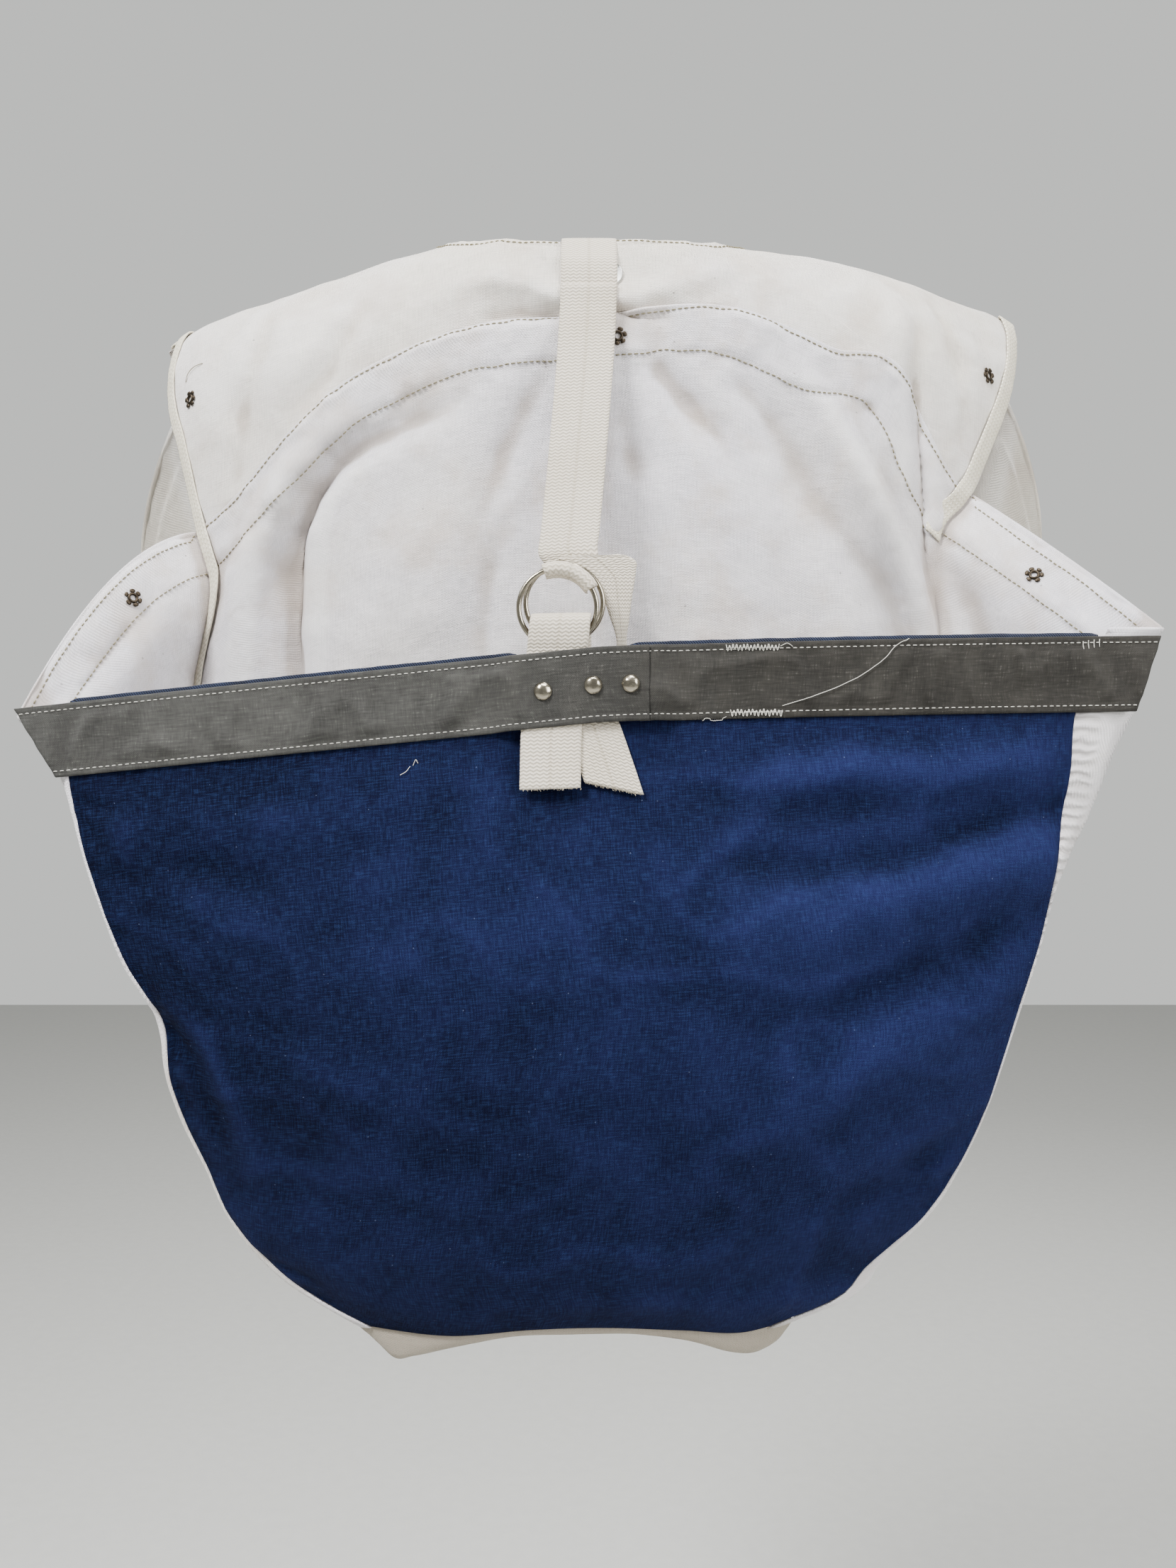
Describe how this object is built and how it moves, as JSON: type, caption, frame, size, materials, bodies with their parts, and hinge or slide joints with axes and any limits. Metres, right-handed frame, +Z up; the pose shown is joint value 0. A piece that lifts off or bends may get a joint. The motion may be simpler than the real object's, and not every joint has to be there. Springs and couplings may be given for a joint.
{
  "type": "newspaper delivery bag",
  "caption": "Newspaper carrier's over-the-head bag in white canvas, with a dark blue front pouch, grey mouth tape, ring buckle and a rear pouch.",
  "frame": {"origin": "middle of the neck opening, on the shoulder line, where the bag sits on the wearer", "axes": "X to the viewer's right, Y from the front pouch to the rear one, Z up"},
  "size_m": [0.6176, 0.338, 0.6285],
  "materials": {
    "canvas": "matte cotton canvas",
    "blue_cloth": "matte dark blue cotton",
    "grey_tape": "matte grey cotton tape",
    "navy_edge": "matte navy twill",
    "cream_tape": "matte cream cotton tape",
    "webbing": "matte cream cotton webbing",
    "nickel": "worn nickel plate"
  },
  "bodies": {
    "root": {"armhole_tape_left": "cream_tape", "armhole_tape_right": "cream_tape", "band_left": "grey_tape", "band_right": "grey_tape", "cap_snap": "nickel", "front_bottom": "canvas", "front_panel": "blue_cloth", "front_pouch": "canvas", "mouth_edge_left": "navy_edge", "mouth_edge_right": "navy_edge", "prong_snap_armhole_left": "nickel", "prong_snap_armhole_right": "nickel", "prong_snap_centre": "nickel", "prong_snap_gusset_left": "nickel", "prong_snap_gusset_right": "nickel", "rear_band": "grey_tape", "rear_bottom": "canvas", "rear_mouth_edge": "navy_edge", "rear_panel": "blue_cloth", "rear_pouch": "canvas", "ring_front": "nickel", "ring_loop": "webbing", "ring_rear": "nickel", "rivet_left": "nickel", "rivet_middle": "nickel", "rivet_right": "nickel", "strap": "webbing", "strap_tail": "webbing", "yoke": "canvas"}
  },
  "joints": []
}
